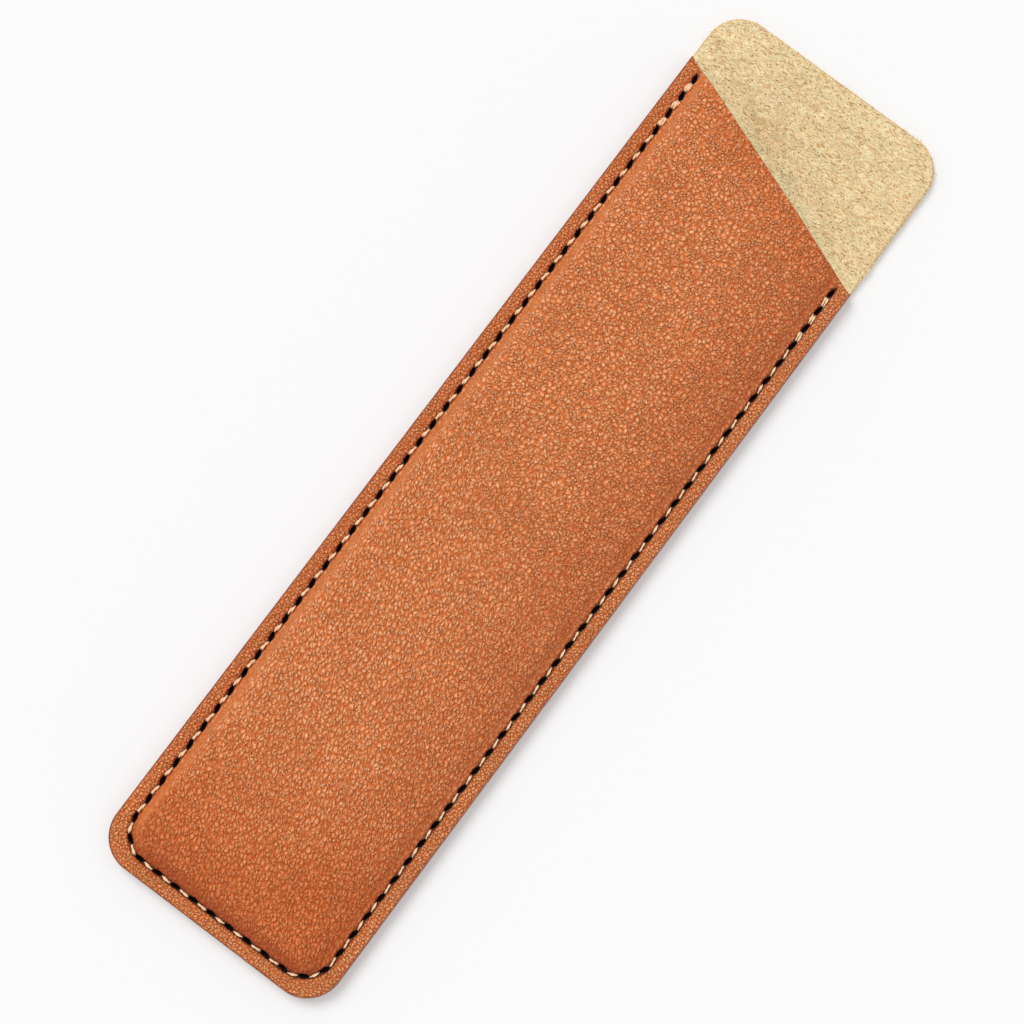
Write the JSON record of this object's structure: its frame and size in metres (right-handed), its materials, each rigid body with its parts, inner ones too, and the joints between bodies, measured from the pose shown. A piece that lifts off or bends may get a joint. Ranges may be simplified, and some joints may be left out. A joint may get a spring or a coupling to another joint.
{
  "type": "pen sleeve",
  "caption": "Flat leather pen sleeve with a slanted mouth, a bare tab behind it, a low moulded crown over its pocket and a hand-sewn seam around it.",
  "frame": {"origin": "middle of the outline, on the face of the back panel that the sleeve lies on", "axes": "+X across the sleeve towards its shorter seam, +Y along it towards the bare tab, +Z out of the crowned front"},
  "size_m": [0.0426, 0.165, 0.0069],
  "materials": {
    "back_leather": "buff flesh side, soft and fibrous with small brown specks",
    "front_leather": "pebbled brown grain, satin",
    "cement": "dried contact cement, dull",
    "thread": "cream two-ply waxed linen thread",
    "edge_dressing": "dyed and waxed, smooth satin"
  },
  "bodies": {
    "root": {"back_panel": "back_leather", "front_panel": "front_leather", "seam_cement": "cement", "saddle_stitch_thread": "thread", "edge_skin": "edge_dressing"}
  },
  "joints": []
}
